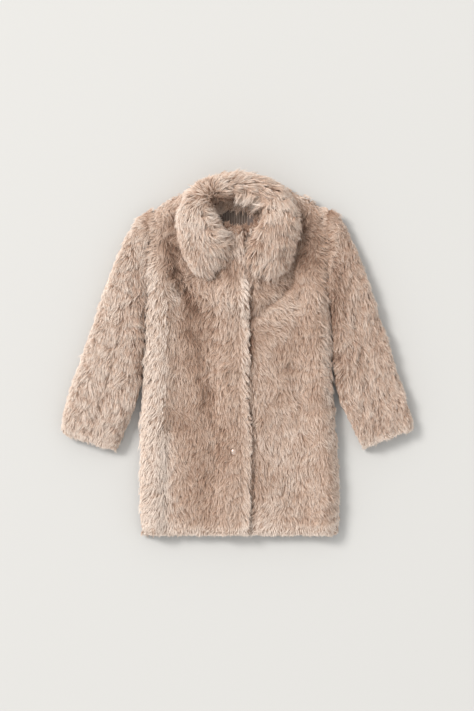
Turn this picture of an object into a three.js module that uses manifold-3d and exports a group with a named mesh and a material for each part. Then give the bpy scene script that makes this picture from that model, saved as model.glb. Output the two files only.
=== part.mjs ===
// A child's faux fur coat, laid on its back with the sleeves down beside the body.
// Millimetres, +Z up. +Y runs from the hem to the collar and +X to the wearer's left.
// The origin is on the surface that the coat lies on, under the middle of its length and breadth.
// Fur cloth is a thick wall: woven backing, lining and standing pile. The outer faces are where the pile ends.
import * as THREE from "three";
import Module from "manifold-3d";
import { mergeVertices } from "three/addons/utils/BufferGeometryUtils.js";

const wasm = await Module();
wasm.setup();

// Driving sizes
const WALL = 24; // fur cloth with its pile standing
const PRESSED_WALL = 9; // the same cloth under the coat, where the weight lays the pile flat
const LAP_WALL = 9; // the underlap, pressed between the fronts
const EDGE_WALL = 17; // the wall where it turns down into a seam
const SEAM_GAP = 0.3;
const SEAM_HEIGHT = 15; // side, shoulder and sleeve seams run at this height, round the edge of the coat
const EDGE_RADIUS = 30; // how broadly the front turns down into the side and shoulder seams
const FRONT_RISE = 19; // front's outer face above the seams, away from folds
const INNER_GAP = 1.6; // between the inner faces of front and back, where the lining lies
const ROLL_GAP = 2; // how much that widens under a roll
const HEM_Y = -291;
const HEM_ROUND = 14; // length over which the pile turns down at the hem
const HEM_DROP = 0.35; // share of the front's rise that is lost there

// Neck
const NECK_X = 3;
const NECK_HALF_WIDTH = 56;
const NECK_TOP_Y = 280; // where the neckline meets the shoulder seams
const FRONT_NECK_DROP = 74;
const BACK_NECK_DROP = 18;
const NECK_CUT_ANGLE = 50; // degrees of the edge's round turn that the neckline cuts off
const NECK_BLEND = 9; // length over which the shoulder's turned edge becomes the neck's cut edge

// Front closing: the wearer's right front lies over the left one
const LAP_EDGE = [
  { y: -292, x: 20 },
  { y: -190, x: 21.5 },
  { y: -125, x: 24 },
  { y: -75, x: 18.5 },
  { y: -10, x: 20 },
  { y: 90, x: 18.5 },
  { y: 205, x: 15 },
];
const LAP_WIDTH = 38;
const LAP_RAMP = 13; // length over which the right front climbs on to the underlap
const CREASE_WIDTH = 11; // length over which the left front rises again beside the lap edge

// Side edges of the body, from the hem to the underarm
const SIDES = [
  { y: -292, left: -153.5, right: 165 },
  { y: -207, left: -154.8, right: 166 },
  { y: -125, left: -154, right: 160.5 },
  { y: -75, left: -152, right: 157.4 },
  { y: -42, left: -149.5, right: 155 },
  { y: 24, left: -148.6, right: 153 },
  { y: 97, left: -148.6, right: 151 },
];
const UNDERARM_Y = 97;
const SHOULDER_POINT = { left: { x: -137.8, y: 232 }, right: { x: 141, y: 236 } };
const ARMHOLE_SHARE = 0.87; // height of the armhole seam as a share of the front's rise
const ARMHOLE_POWER = 3; // how squarely the armhole seam rises at its two ends

// Rolls and creases of the front: each is a soft ridge (lift above 0) or trough along a line
const FOLDS = [
  { x1: -112, y1: 178, x2: -82, y2: 102, lift: -5, width: 17 },
  { x1: -82, y1: 102, x2: -44, y2: -18, lift: -4, width: 19 },
  { x1: -44, y1: -60, x2: -30, y2: -190, lift: -3, width: 17 },
  { x1: -58, y1: 96, x2: 2, y2: 88, lift: 7, width: 20 },
  { x1: 24, y1: 86, x2: 62, y2: 112, lift: 5, width: 17 },
  { x1: 24, y1: 60, x2: 76, y2: 104, lift: -3, width: 10 },
  { x1: -20, y1: -20, x2: 6, y2: -10, lift: 4, width: 17 },
  { x1: 84, y1: -18, x2: 112, y2: -88, lift: -4, width: 11 },
  { x1: 124, y1: 90, x2: 136, y2: -60, lift: 4, width: 15 },
  { x1: 132, y1: -110, x2: 146, y2: -230, lift: 3, width: 16 },
  { x1: 60, y1: -120, x2: 96, y2: -250, lift: -3, width: 18 },
  { x1: -112, y1: -120, x2: -118, y2: -280, lift: -3, width: 12 },
  { x1: 100, y1: 200, x2: 84, y2: 110, lift: -4, width: 16 },
];
const SIDE_ROLL = { lift: 11, inset: 24, width: 20 };
const SIDE_ROLL_FADE = { from: 120, to: 215, share: 0.35 }; // the roll flattens towards the shoulder

// The one snap fastener that shows on the right front
const SNAP = { x: -4, y: -156, sunk: 8 };
const SNAP_RADIUS = 5.5;
const SNAP_HEIGHT = 2.6;
const SNAP_POCKET = { floor: 6.2, mouth: 10 }; // radii of the parting in the pile round the cap

// Where a closed snap draws the front in
const DIMPLES = [
  { x: -4, y: -156, depth: 4, radius: 17 },
  { x: -12, y: -41, depth: 4, radius: 17 },
];

// Sleeves from the armhole to the cuff: the outer and inner edge of each section, and its rise
const SLEEVES = {
  right: [
    { outerX: -137.8, outerY: 232, innerX: -148.6, innerY: 97, rise: 18.5 },
    { outerX: -156, outerY: 216, innerX: -150, innerY: 84, rise: 22 },
    { outerX: -175, outerY: 190, innerX: -150.6, innerY: 66, rise: 25 },
    { outerX: -196, outerY: 143, innerX: -150.6, innerY: 42, rise: 26 },
    { outerX: -215, outerY: 94, innerX: -150.6, innerY: 14, rise: 26 },
    { outerX: -231, outerY: 46, innerX: -151, innerY: -16, rise: 25 },
    { outerX: -247.5, outerY: 0, innerX: -154.5, innerY: -50, rise: 25 },
    { outerX: -264, outerY: -45, innerX: -164, innerY: -86, rise: 24 },
    { outerX: -276.5, outerY: -88, innerX: -178, innerY: -120, rise: 23 },
    { outerX: -284, outerY: -120.5, innerX: -189.5, innerY: -152.5, rise: 20 },
  ],
  left: [
    { outerX: 141, outerY: 236, innerX: 151, innerY: 97, rise: 18.5 },
    { outerX: 160, outerY: 223, innerX: 152.6, innerY: 84, rise: 22 },
    { outerX: 177, outerY: 196, innerX: 154, innerY: 66, rise: 25 },
    { outerX: 199, outerY: 148, innerX: 155, innerY: 42, rise: 26 },
    { outerX: 218, outerY: 97, innerX: 155.6, innerY: 14, rise: 26 },
    { outerX: 233, outerY: 49, innerX: 156.6, innerY: -14, rise: 25 },
    { outerX: 249, outerY: 4, innerX: 159.5, innerY: -48, rise: 25 },
    { outerX: 261, outerY: -38, innerX: 167, innerY: -80, rise: 24 },
    { outerX: 276, outerY: -80, innerX: 183.5, innerY: -113, rise: 23 },
    { outerX: 286, outerY: -116, innerX: 199, innerY: -148.5, rise: 20 },
  ],
};
const SLEEVE_WRINKLES = {
  right: [
    { at: 0.42, across: 0.75, lift: -2.5, width: 0.05 },
    { at: 0.56, across: 0.8, lift: 1.5, width: 0.06 },
    { at: 0.83, across: 0.4, lift: 1.5, width: 0.07 },
  ],
  left: [
    { at: 0.38, across: 0.7, lift: -3, width: 0.05 },
    { at: 0.5, across: 0.75, lift: 2, width: 0.06 },
    { at: 0.93, across: 0.55, lift: -2.5, width: 0.035 },
  ],
};
const SLEEVE_SQUARENESS = 3.2; // 2 would be an ellipse
const SLEEVE_SIDE_WALL = 15;
const SLEEVE_SLIT = 2.4; // between the upper and under layer of a sleeve

// Collar from the right leaf, round the back of the neck, to the left leaf
const COLLAR = [
  { neckX: -14, neckY: 163, foldX: -55, foldY: 127, neckZ: 28, foldZ: 27, rise: 21 },
  { neckX: -16, neckY: 180, foldX: -77, foldY: 141, neckZ: 28, foldZ: 27, rise: 33 },
  { neckX: -29, neckY: 206, foldX: -94, foldY: 176, neckZ: 27, foldZ: 27, rise: 40 },
  { neckX: -41, neckY: 227, foldX: -99, foldY: 220, neckZ: 25, foldZ: 26, rise: 45 },
  { neckX: -38, neckY: 243, foldX: -80, foldY: 262, neckZ: 14, foldZ: 12, rise: 56 },
  { neckX: -20, neckY: 251, foldX: -47, foldY: 285, neckZ: 8, foldZ: 1, rise: 66 },
  { neckX: 2.5, neckY: 253, foldX: 2.5, foldY: 294, neckZ: 8, foldZ: 1, rise: 67 },
  { neckX: 23, neckY: 249, foldX: 49, foldY: 285, neckZ: 8, foldZ: 1, rise: 67 },
  { neckX: 39, neckY: 237, foldX: 86, foldY: 261, neckZ: 14, foldZ: 12, rise: 58 },
  { neckX: 38, neckY: 216, foldX: 104, foldY: 220, neckZ: 25, foldZ: 26, rise: 47 },
  { neckX: 28, neckY: 196, foldX: 101, foldY: 180, neckZ: 27, foldZ: 27, rise: 42 },
  { neckX: 21, neckY: 175, foldX: 86, foldY: 146, neckZ: 28, foldZ: 27, rise: 36 },
  { neckX: 19, neckY: 152, foldX: 64, foldY: 119, neckZ: 28, foldZ: 27, rise: 23 },
];
const COLLAR_WALL = 16;
const COLLAR_CREST = 0.72; // below 1 the crest of the roll stands nearer the neck than the fold's edge
const COLLAR_SQUARENESS = 2.5;

// Lining, where it shows through the neck
const LINING = { thick: 1, x1: -52, x2: 58, y1: 160, y2: 240 };

// Fineness of the meshes
const SIDE_TURN_STEPS = 5;
const TOP_TURN_STEPS = 4;
const SHOULDER_COLUMNS = 5; // from a side's turn to the neck's corner
const LAP_COLUMNS = 4; // across the overlap of the fronts
const CREASE_COLUMNS = 3; // across the left front's crease, and the right front's ramp
const CHEST_COLUMNS = 5; // from there to the neck's corner
const BACK_NECK_COLUMNS = 8;
const PANEL_ROWS = 20;
const SLEEVE_SECTIONS = 20;
const SLEEVE_POINTS = 26;
const COLLAR_SECTIONS = 34;
const COLLAR_POINTS = 11;
const SNAP_SIDES = 20;

const COLOURS = { fur: 0xc9b0a0, lining: 0x85766f, snap: 0xe3c6b4 };

const mix = (a, b, t) => a + (b - a) * t;
const clamp01 = (t) => Math.min(1, Math.max(0, t));
const smooth = (t) => clamp01(t) ** 2 * (3 - 2 * clamp01(t));
const radians = (degrees) => (degrees * Math.PI) / 180;

// A quantity of a table's rows, carried smoothly between them; at runs from 0 to the last row's number.
function between(rows, name, at) {
  const i = Math.min(rows.length - 2, Math.max(0, Math.floor(at)));
  const t = at - i;
  const p = [i - 1, i, i + 1, i + 2].map((k) => rows[Math.min(rows.length - 1, Math.max(0, k))][name]);
  const slope1 = (p[2] - p[0]) / 2;
  const slope2 = (p[3] - p[1]) / 2;
  const rest = p[2] - p[1];
  return p[1] + t * (slope1 + t * (3 * rest - 2 * slope1 - slope2 + t * (slope1 + slope2 - 2 * rest)));
}

// The same, for a table that is ordered by its y column.
function atHeight(rows, name, y) {
  let i = 0;
  while (i < rows.length - 2 && y > rows[i + 1].y) {
    i += 1;
  }
  return between(rows, name, clamp01((y - rows[i].y) / (rows[i + 1].y - rows[i].y)) + i);
}

// A bulge from 0 at both ends to 1 in the middle; the higher the power, the squarer it is.
const bulge = (t, power) => (1 - Math.abs(2 * clamp01(t) - 1) ** power) ** (1 / power);

// Geometry from a list of points and triangles, with its faces turned outwards.
function closed(points, triangles) {
  const corner = (i) => new THREE.Vector3(...points[i]);
  const volume = triangles.reduce((sum, [a, b, c]) => sum + corner(a).dot(corner(b).cross(corner(c))), 0);
  const faces = volume < 0 ? triangles.map(([a, b, c]) => [a, c, b]) : triangles;
  const geometry = new THREE.BufferGeometry();
  geometry.setAttribute("position", new THREE.Float32BufferAttribute(points.flat(), 3));
  geometry.setIndex(faces.flat());
  return geometry;
}

// A wall between two grids of points of the same size: an outer and an inner face, closed round the four edges.
function slab(outer, inner) {
  const rows = outer.length;
  const columns = outer[0].length;
  const points = [...outer.flat(), ...inner.flat()];
  const far = rows * columns;
  const triangles = [];
  const quad = (a, b, c, d) => triangles.push([a, b, c], [a, c, d]);
  for (let i = 0; i < rows - 1; i += 1) {
    for (let k = 0; k < columns - 1; k += 1) {
      const [a, b, c, d] = [i * columns + k, i * columns + k + 1, (i + 1) * columns + k + 1, (i + 1) * columns + k];
      quad(a, b, c, d);
      quad(far + a, far + d, far + c, far + b);
    }
  }
  const rim = [];
  for (let k = 0; k < columns; k += 1) rim.push(k);
  for (let i = 1; i < rows; i += 1) rim.push(i * columns + columns - 1);
  for (let k = columns - 2; k >= 0; k -= 1) rim.push((rows - 1) * columns + k);
  for (let i = rows - 2; i > 0; i -= 1) rim.push(i * columns);
  rim.forEach((a, n) => {
    const b = rim[(n + 1) % rim.length];
    quad(a, far + a, far + b, b);
  });
  return closed(points, triangles);
}

// A tube between outer and inner rings of the same number of points, open at both ends.
function tube(outer, inner) {
  const rings = outer.length;
  const count = outer[0].length;
  const points = [...outer.flat(), ...inner.flat()];
  const far = rings * count;
  const triangles = [];
  const quad = (a, b, c, d) => triangles.push([a, b, c], [a, c, d]);
  for (let k = 0; k < count; k += 1) {
    const next = (k + 1) % count;
    for (let i = 0; i < rings - 1; i += 1) {
      const [a, b, c, d] = [i * count + k, i * count + next, (i + 1) * count + next, (i + 1) * count + k];
      quad(a, b, c, d);
      quad(far + a, far + d, far + c, far + b);
    }
    const end = (rings - 1) * count;
    quad(k, far + k, far + next, next);
    quad(end + k, end + next, far + end + next, far + end + k);
  }
  return closed(points, triangles);
}

// Booleans, for pieces that are cut back from a neighbour
function solidOf(geometry) {
  const bare = geometry.clone();
  bare.deleteAttribute("normal");
  bare.deleteAttribute("uv");
  const merged = mergeVertices(bare, 1e-4);
  const vertProperties = new Float32Array(merged.attributes.position.array);
  return new wasm.Manifold(new wasm.Mesh({ numProp: 3, vertProperties, triVerts: new Uint32Array(merged.index.array) }));
}

function geometryOf(solid) {
  const mesh = solid.getMesh();
  const geometry = new THREE.BufferGeometry();
  geometry.setAttribute("position", new THREE.BufferAttribute(new Float32Array(mesh.vertProperties), 3));
  geometry.setIndex(new THREE.BufferAttribute(new Uint32Array(mesh.triVerts), 1));
  return geometry;
}

const largest = (solid) => solid.decompose().reduce((a, b) => (a.volume() > b.volume() ? a : b));

// A piece cut back so that it stays a seam's gap clear of each neighbour, along every axis.
function clearOf(geometry, neighbours) {
  const shifts = [-SEAM_GAP, SEAM_GAP].flatMap((g) => [[g, 0, 0], [0, g, 0], [0, 0, g]]);
  let solid = solidOf(geometry);
  for (const neighbour of neighbours.map(solidOf)) {
    for (const shift of shifts) {
      solid = solid.subtract(neighbour.translate(shift));
    }
  }
  return geometryOf(largest(solid));
}

// Outline of the body, seen from above
function sideEdge(side, y) {
  if (y <= UNDERARM_Y) return atHeight(SIDES, side, y);
  const top = SHOULDER_POINT[side];
  return mix(atHeight(SIDES, side, UNDERARM_Y), top.x, clamp01((y - UNDERARM_Y) / (top.y - UNDERARM_Y)));
}

// How far an open armhole seam stands above the seam height, as a share of the rise; 0 below the underarm.
function armholeShare(side, y) {
  const along = (y - UNDERARM_Y) / (SHOULDER_POINT[side].y - UNDERARM_Y);
  return y <= UNDERARM_Y ? 0 : ARMHOLE_SHARE * bulge(along, ARMHOLE_POWER);
}

// Top edge of a panel at x: the shoulder seam, and the neckline between the two shoulders.
function topEdge(x, neckDrop) {
  const inNeck = (x - NECK_X) / NECK_HALF_WIDTH;
  if (Math.abs(inNeck) < 1) return NECK_TOP_Y - neckDrop * Math.sqrt(1 - inNeck ** 2);
  const side = inNeck < 0 ? "left" : "right";
  const point = SHOULDER_POINT[side];
  const corner = NECK_X + Math.sign(inNeck) * NECK_HALF_WIDTH;
  return mix(NECK_TOP_Y, point.y, (x - corner) / (point.x - corner));
}

// Angle at which a panel's turned top edge is cut: 0 at the shoulder seam, more at the neckline.
function topCut(x) {
  const inside = NECK_HALF_WIDTH - Math.abs(x - NECK_X);
  return radians(NECK_CUT_ANGLE) * smooth(inside / NECK_BLEND + 0.5);
}

// Rise of the front's outer face above the seams
function frontRise(x, y) {
  const inset = Math.min(x - sideEdge("left", y), sideEdge("right", y) - x);
  const fade = smooth((y - SIDE_ROLL_FADE.from) / (SIDE_ROLL_FADE.to - SIDE_ROLL_FADE.from));
  const roll = SIDE_ROLL.lift * Math.exp(-(((inset - SIDE_ROLL.inset) / SIDE_ROLL.width) ** 2));
  let rise = FRONT_RISE + roll * mix(1, SIDE_ROLL_FADE.share, fade);
  for (const f of FOLDS) {
    const [dx, dy] = [f.x2 - f.x1, f.y2 - f.y1];
    const t = clamp01(((x - f.x1) * dx + (y - f.y1) * dy) / (dx * dx + dy * dy));
    const away = Math.hypot(x - f.x1 - t * dx, y - f.y1 - t * dy);
    rise += f.lift * Math.exp(-((away / f.width) ** 2));
  }
  for (const d of DIMPLES) {
    rise -= d.depth * Math.exp(-((Math.hypot(x - d.x, y - d.y) / d.radius) ** 2));
  }
  return rise;
}

// The front also turns down a little at the hem, where the pile hangs over it.
const hemShare = (y) => 1 - HEM_DROP * (1 - Math.sqrt(1 - (1 - clamp01((y - HEM_Y) / HEM_ROUND)) ** 2));

// A panel as a grid of points. layer 0 is the outer face and 1 the inner one. The columns run from one side edge,
// where they turn down, or from one stretch's end, to the other; the rows run from the hem to the top edge.
function panel({ sides, stretches, neckDrop, height, seamZ }) {
  const turn = EDGE_RADIUS;
  const stops = [];
  const steps = SIDE_TURN_STEPS;
  if (sides.includes("left")) for (let j = 0; j < steps; j += 1) stops.push({ side: "left", turned: j / steps });
  stretches.forEach((stretch, n) => {
    const { columns } = stretch;
    for (let k = n ? 1 : 0; k <= columns; k += 1) stops.push({ stretch, along: k / columns });
  });
  if (sides.includes("right")) for (let j = steps - 1; j >= 0; j -= 1) stops.push({ side: "right", turned: j / steps });

  // The inner face's quarter turn has a smaller radius, so it starts at its own angle.
  const innerStart = (start) => Math.acos(Math.min(1, (turn * Math.cos(start)) / (turn - EDGE_WALL)));
  const radius = (layer) => turn - layer * EDGE_WALL;
  const turnAngle = (start, layer, t) => mix(layer ? innerStart(start) : start, Math.PI / 2, t);
  const turnCentre = (side, y) => {
    const out = side === "left" ? -1 : 1;
    const start = Math.asin(armholeShare(side, y));
    const edge = sideEdge(side, y) - out * (y > UNDERARM_Y ? SEAM_GAP / 2 : 0);
    return { out, start, x: edge - out * turn * Math.cos(start) };
  };
  const endOf = (end, y) => (typeof end === "string" ? turnCentre(end, y).x : end(y));
  const place = (stop, layer, y) => {
    if (stop.stretch) return { x: mix(endOf(stop.stretch.from, y), endOf(stop.stretch.to, y), stop.along), share: 1 };
    const { out, start, x } = turnCentre(stop.side, y);
    const angle = turnAngle(start, layer, stop.turned);
    return { x: x + out * radius(layer) * Math.cos(angle), share: Math.sin(angle) };
  };
  const topOf = (stop, layer) => {
    let y = NECK_TOP_Y - neckDrop;
    for (let n = 0; n < 12; n += 1) y = mix(y, topEdge(place(stop, layer, y).x, neckDrop), 0.8);
    return y;
  };
  const face = (layer) => {
    const grid = [];
    for (let i = 0; i < PANEL_ROWS + TOP_TURN_STEPS; i += 1) {
      grid.push(
        stops.map((stop) => {
          const top = topOf(stop, 0);
          const start = topCut(place(stop, 0, top).x);
          const centre = top - turn * Math.cos(start);
          let y = mix(HEM_Y, centre, Math.min(1, i / (PANEL_ROWS - 1)));
          let share = 1;
          if (i >= PANEL_ROWS) {
            const angle = turnAngle(start, layer, 1 - (i - PANEL_ROWS + 1) / TOP_TURN_STEPS);
            y = centre + radius(layer) * Math.cos(angle);
            share = Math.sin(angle);
          }
          const at = place(stop, layer, y);
          return [at.x, y, seamZ + height(at.x, y, layer) * at.share * share];
        }),
      );
    }
    return grid;
  };
  return slab(face(0), face(1));
}

// Inner face of the fronts, from the seams' height: it lies on the back, and lifts a little under a roll.
const INNER_RISE = PRESSED_WALL + INNER_GAP - SEAM_HEIGHT - SEAM_GAP / 2;
const frontInner = (rise) => INNER_RISE + Math.min(ROLL_GAP, Math.max(0, rise - INNER_RISE - WALL));

// The left front lies under the right one, so its lap is pressed thin; beside the lap edge it rises again.
function leftFrontRise(x, y) {
  const lapped = smooth((x - lapEdge(y)) / CREASE_WIDTH);
  return mix(INNER_RISE + LAP_WALL, frontRise(x, y), lapped);
}

// The right front climbs on to that lap.
function rightFrontLift(x, y) {
  const lapStart = underlapEdge(y);
  return (LAP_WALL + SEAM_GAP) * smooth((x - lapStart + LAP_RAMP) / LAP_RAMP);
}

const neckCorner = { left: () => NECK_X - NECK_HALF_WIDTH, right: () => NECK_X + NECK_HALF_WIDTH };
const lapEdge = (y) => atHeight(LAP_EDGE, "x", y);
const underlapEdge = (y) => lapEdge(y) - LAP_WIDTH;
const creaseEnd = (y) => lapEdge(y) + CREASE_WIDTH;
const rampStart = (y) => underlapEdge(y) - LAP_RAMP;
const shoulder = {
  left: { from: "left", to: neckCorner.left, columns: SHOULDER_COLUMNS },
  right: { from: neckCorner.right, to: "right", columns: SHOULDER_COLUMNS },
};

const frontLeft = () =>
  panel({
    sides: ["right"],
    stretches: [
      { from: underlapEdge, to: lapEdge, columns: LAP_COLUMNS },
      { from: lapEdge, to: creaseEnd, columns: CREASE_COLUMNS },
      { from: creaseEnd, to: neckCorner.right, columns: CHEST_COLUMNS },
      shoulder.right,
    ],
    neckDrop: FRONT_NECK_DROP,
    seamZ: SEAM_HEIGHT + SEAM_GAP / 2,
    height: (x, y, layer) => (layer ? frontInner(leftFrontRise(x, y)) : leftFrontRise(x, y) * hemShare(y)),
  });

const frontRight = () =>
  panel({
    sides: ["left"],
    stretches: [
      shoulder.left,
      { from: neckCorner.left, to: rampStart, columns: CHEST_COLUMNS },
      { from: rampStart, to: underlapEdge, columns: CREASE_COLUMNS },
      { from: underlapEdge, to: lapEdge, columns: LAP_COLUMNS },
    ],
    neckDrop: FRONT_NECK_DROP,
    seamZ: SEAM_HEIGHT + SEAM_GAP / 2,
    height: (x, y, layer) => {
      const lift = rightFrontLift(x, y);
      return layer ? frontInner(frontRise(x, y)) + lift : frontRise(x, y) * hemShare(y) + lift;
    },
  });

// The back turns up from the flat underside to the same seams.
const back = () =>
  panel({
    sides: ["left", "right"],
    stretches: [
      shoulder.left,
      { from: neckCorner.left, to: neckCorner.right, columns: BACK_NECK_COLUMNS },
      shoulder.right,
    ],
    neckDrop: BACK_NECK_DROP,
    seamZ: SEAM_HEIGHT - SEAM_GAP / 2,
    height: (x, y, layer) => layer * PRESSED_WALL - SEAM_HEIGHT + SEAM_GAP / 2,
  });

// One sleeve: flattened rings from the armhole to the cuff, flat underneath.
function sleeve(worn) {
  const rows = SLEEVES[worn];
  const out = worn === "right" ? -1 : 1;
  const ring = (n, layer) => {
    const at = (n / (SLEEVE_SECTIONS - 1)) * (rows.length - 1);
    const [outerX, outerY, innerX, innerY, rise] = ["outerX", "outerY", "innerX", "innerY", "rise"].map((name) =>
      between(rows, name, at),
    );
    const half = Math.hypot(innerX - outerX, innerY - outerY) / 2;
    const [alongX, alongY] = [(innerX - outerX) / 2 / half, (innerY - outerY) / 2 / half];
    const reach = half - layer * SLEEVE_SIDE_WALL;
    const points = [];
    for (let k = 0; k < SLEEVE_POINTS; k += 1) {
      const angle = (k / SLEEVE_POINTS) * 2 * Math.PI;
      const [c, s] = [Math.cos(angle), Math.sin(angle)];
      const across = Math.sign(c) * Math.abs(c) ** (2 / SLEEVE_SQUARENESS);
      const up = Math.abs(s) ** (2 / SLEEVE_SQUARENESS);
      let top = rise;
      for (const w of SLEEVE_WRINKLES[worn]) {
        const away = Math.hypot(n / (SLEEVE_SECTIONS - 1) - w.at, (0.5 * across + 0.5 - w.across) * w.width * 2);
        top += w.lift * Math.exp(-((away / w.width) ** 2));
      }
      const above = layer ? SLEEVE_SLIT / 2 : top;
      const below = layer ? SLEEVE_SLIT / 2 : SEAM_HEIGHT;
      points.push([
        (outerX + innerX) / 2 + alongX * across * reach + (out * SEAM_GAP) / 2,
        (outerY + innerY) / 2 + alongY * across * reach,
        SEAM_HEIGHT + up * (s >= 0 ? above : -below),
      ]);
    }
    return points;
  };
  const rings = (layer) => Array.from({ length: SLEEVE_SECTIONS }, (_, n) => ring(n, layer));
  return tube(rings(0), rings(1));
}

// Collar: an arched wall that stands up from the neck, rolls over and lies on the fronts and shoulders.
function collarWall() {
  const face = (layer) =>
    Array.from({ length: COLLAR_SECTIONS }, (_, n) => {
      const at = (n / (COLLAR_SECTIONS - 1)) * (COLLAR.length - 1);
      const row = Object.fromEntries(Object.keys(COLLAR[0]).map((name) => [name, between(COLLAR, name, at)]));
      const width = Math.hypot(row.foldX - row.neckX, row.foldY - row.neckY);
      const inset = (layer * COLLAR_WALL) / width;
      return Array.from({ length: COLLAR_POINTS }, (_, k) => {
        const angle = (k / (COLLAR_POINTS - 1)) * Math.PI;
        const c = Math.cos(angle);
        const across = 0.5 - 0.5 * Math.sign(c) * Math.abs(c) ** (2 / COLLAR_SQUARENESS);
        const q = mix(inset, 1 - inset, across ** (1 / COLLAR_CREST));
        const arch = Math.sin(angle) ** (2 / COLLAR_SQUARENESS);
        return [
          mix(row.neckX, row.foldX, q),
          mix(row.neckY, row.foldY, q),
          mix(row.neckZ, row.foldZ, q) + (row.rise - layer * COLLAR_WALL) * arch,
        ];
      });
    });
  return slab(face(0), face(1));
}

// Lining patch, lying on the inside of the back where the neck shows it
function lining() {
  const low = PRESSED_WALL + SEAM_GAP;
  const columns = 12;
  const rows = 12;
  const face = (z) =>
    Array.from({ length: rows + 1 }, (_, i) =>
      Array.from({ length: columns + 1 }, (_, k) => {
        const across = (2 * k) / columns - 1;
        const along = (2 * i) / rows - 1;
        const x = across * Math.sqrt(1 - along ** 2 / 2);
        const y = along * Math.sqrt(1 - across ** 2 / 2);
        return [
          mix(LINING.x1, LINING.x2, (x + 1) / 2),
          mix(LINING.y1, LINING.y2, (y + 1) / 2),
          z,
        ];
      }),
    );
  return slab(face(low + LINING.thick), face(low));
}

// Snap cap and the parting of the pile that it sits in
const SNAP_Z = SEAM_HEIGHT + frontRise(SNAP.x, SNAP.y) + rightFrontLift(SNAP.x, SNAP.y) - SNAP.sunk;

function snapCap() {
  const profile = [
    { out: 0, up: 0 },
    { out: 1, up: 0 },
    { out: 1, up: 0.35 },
    { out: 0.85, up: 0.75 },
    { out: 0.5, up: 0.96 },
    { out: 0, up: 1 },
  ].map(({ out, up }) => new THREE.Vector2(out * SNAP_RADIUS, up * SNAP_HEIGHT));
  const cap = new THREE.LatheGeometry(profile, SNAP_SIDES);
  cap.rotateX(Math.PI / 2);
  return cap.translate(SNAP.x, SNAP.y, SNAP_Z);
}

function snapPocket() {
  const depth = SNAP.sunk + SEAM_HEIGHT;
  const mouth = mix(SNAP_POCKET.floor, SNAP_POCKET.mouth, depth / SNAP.sunk);
  const pocket = new THREE.CylinderGeometry(mouth, SNAP_POCKET.floor, depth, SNAP_SIDES);
  pocket.rotateX(Math.PI / 2);
  return pocket.translate(SNAP.x, SNAP.y, SNAP_Z - SEAM_GAP + depth / 2);
}

const pieces = { back: back(), front_left: frontLeft() };
const parted = solidOf(frontRight()).subtract(solidOf(snapPocket()));
pieces.front_right = clearOf(geometryOf(parted), [pieces.front_left]);
pieces.sleeve_left = sleeve("left");
pieces.sleeve_right = sleeve("right");
pieces.collar = clearOf(collarWall(), [pieces.back, pieces.front_left, pieces.front_right]);
pieces.neck_lining = lining();
pieces.snap = snapCap();

const finishes = {
  fur: new THREE.MeshStandardMaterial({ name: "fur", color: COLOURS.fur, roughness: 0.95, metalness: 0 }),
  lining: new THREE.MeshStandardMaterial({ name: "lining", color: COLOURS.lining, roughness: 0.55, metalness: 0 }),
  snap: new THREE.MeshStandardMaterial({ name: "snap", color: COLOURS.snap, roughness: 0.25, metalness: 0.9 }),
};
const finishOf = (name) => {
  if (name === "snap") return finishes.snap;
  return name === "neck_lining" ? finishes.lining : finishes.fur;
};

const coat = new THREE.Group();
for (const [name, geometry] of Object.entries(pieces)) {
  const mesh = new THREE.Mesh(geometry, finishOf(name));
  mesh.name = name;
  coat.add(mesh);
}

export default coat;
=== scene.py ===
"""A child's faux fur coat, laid flat on its back on a pale surface and seen from straight above.

Sizes are in millimetres until a mesh is made, in the frame of the CAD model: z = 0 is the surface,
+Y runs from the hem to the collar and +X to the wearer's left.

Each piece of fur cloth is a shell, its backing with the dense ground of the pile, and carries locks
of long pile that reach as far as the CAD solid does. Every form is a function of two parameters.
"""
import bpy
import numpy as np
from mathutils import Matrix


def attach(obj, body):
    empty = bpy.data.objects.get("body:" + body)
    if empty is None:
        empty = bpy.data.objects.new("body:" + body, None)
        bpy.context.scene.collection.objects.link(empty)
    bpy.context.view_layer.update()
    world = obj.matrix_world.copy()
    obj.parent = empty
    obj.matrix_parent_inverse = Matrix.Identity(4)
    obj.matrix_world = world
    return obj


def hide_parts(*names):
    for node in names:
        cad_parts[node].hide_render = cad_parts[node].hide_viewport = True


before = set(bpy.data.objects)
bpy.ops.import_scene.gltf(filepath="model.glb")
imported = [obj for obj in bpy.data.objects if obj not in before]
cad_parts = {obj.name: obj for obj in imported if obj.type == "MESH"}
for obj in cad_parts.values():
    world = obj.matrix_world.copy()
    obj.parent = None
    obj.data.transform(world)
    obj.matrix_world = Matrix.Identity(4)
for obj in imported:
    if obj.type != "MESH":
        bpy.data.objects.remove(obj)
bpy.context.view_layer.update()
MM = 0.001

# Thicknesses
EDGE_RADIUS = 30.0
SEAM_HEIGHT = 15.0
PRESSED_WALL = 9.0
LAP_WALL = 9.0
FRONT_RISE = 19.0
INNER_Z = 10.9  # inner faces of the fronts
HIGHEST = 70.0  # tips above this are pressed down to about a third of what they are above it
ROOT_DEPTH = 8.5  # pile ground below the tips of the locks
SHELL_INNER = 17.0  # inner face at a turned edge, below the tips
SIDE_DEPTH = 0.6  # share of a face's depth where it turns down to a seam

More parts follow.
